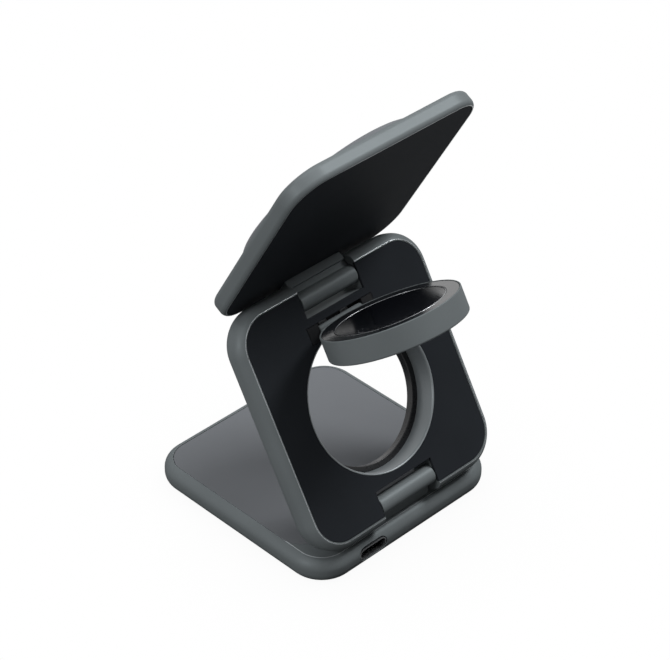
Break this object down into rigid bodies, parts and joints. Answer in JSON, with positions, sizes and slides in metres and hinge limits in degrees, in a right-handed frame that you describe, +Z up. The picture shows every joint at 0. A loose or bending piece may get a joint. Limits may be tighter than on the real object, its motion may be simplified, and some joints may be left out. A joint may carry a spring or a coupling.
{
  "type": "wireless charger",
  "caption": "Foldable wireless charging stand: square base with an earbud pad, leaning arm with a swing-out watch charger, and a tilting phone panel with a raised round pad.",
  "frame": {"origin": "centre of the base's underside, on the surface that it stands on", "axes": "+Z up, +X along the hinges, -Y towards the side that the phone faces, +Y towards the charging socket; positions are in metres"},
  "size_m": [0.062, 0.072, 0.1136],
  "materials": {
    "gunmetal": "satin gunmetal anodised",
    "grey_pad": "soft-touch grey",
    "bore_grey": "satin with a bright chamfer",
    "black_panel": "fine-grained black",
    "black_trim": "matt black",
    "foot_rubber": "matt black",
    "dark_glass": "glossy near-black",
    "steel": "plain",
    "magnet": "nickel plated",
    "copper": "enamelled copper wire",
    "ferrite": "pressed ferrite",
    "board": "green solder mask",
    "flex": "amber film"
  },
  "bodies": {
    "base": {"base_housing": "gunmetal", "base_pad": "grey_pad", "base_cover": "black_panel", "foot_pad": "foot_rubber", "earbud_coil": "copper", "earbud_ferrite": "ferrite", "base_board": "board", "usb_c_shell": "steel", "usb_c_tongue": "black_trim", "base_knuckle": "gunmetal", "knuckle_screws": "steel", "cover_screws": "steel"},
    "arm": {"arm_frame": "gunmetal", "arm_back_panel": "black_panel", "bore_ring": "bore_grey", "seat_lip": "black_trim", "arm_flex": "flex", "base_hinge_pin": "steel", "phone_hinge_pin": "steel", "watch_bracket": "black_trim", "bracket_screws": "steel", "watch_hinge_pin": "steel"},
    "phone_panel": {"phone_frame": "gunmetal", "phone_back_panel": "black_panel", "phone_pad": "grey_pad", "phone_magnets": "magnet", "phone_coil": "copper", "phone_ferrite": "ferrite", "phone_board": "board", "phone_knuckle": "gunmetal", "phone_knuckle_screws": "steel"},
    "watch_charger": {"watch_housing": "gunmetal", "watch_bezel": "gunmetal", "watch_trim": "steel", "watch_dish": "dark_glass", "watch_coil": "copper", "watch_ferrite": "ferrite", "watch_magnet": "magnet", "watch_board": "board", "watch_cap": "black_panel"}
  },
  "joints": [
    {"name": "base_fold", "type": "hinge", "parent": "base", "child": "arm", "pos_m": [0, 0.0281, 0.0131], "axis": [1, 0, 0], "range_deg": [-30.6, 59.4]},
    {"name": "phone_fold", "type": "hinge", "parent": "arm", "child": "phone_panel", "pos_m": [0, 0.00064, 0.05954], "axis": [1, 0, 0], "range_deg": [-119.5, 0]},
    {"name": "watch_flip", "type": "hinge", "parent": "arm", "child": "watch_charger", "pos_m": [0, 0.00605, 0.05333], "axis": [1, 0, 0], "range_deg": [-90.01, 0]}
  ],
  "couplings": [
    {"joint": "watch_flip", "follows": "phone_fold", "ratio": 0.753}
  ]
}
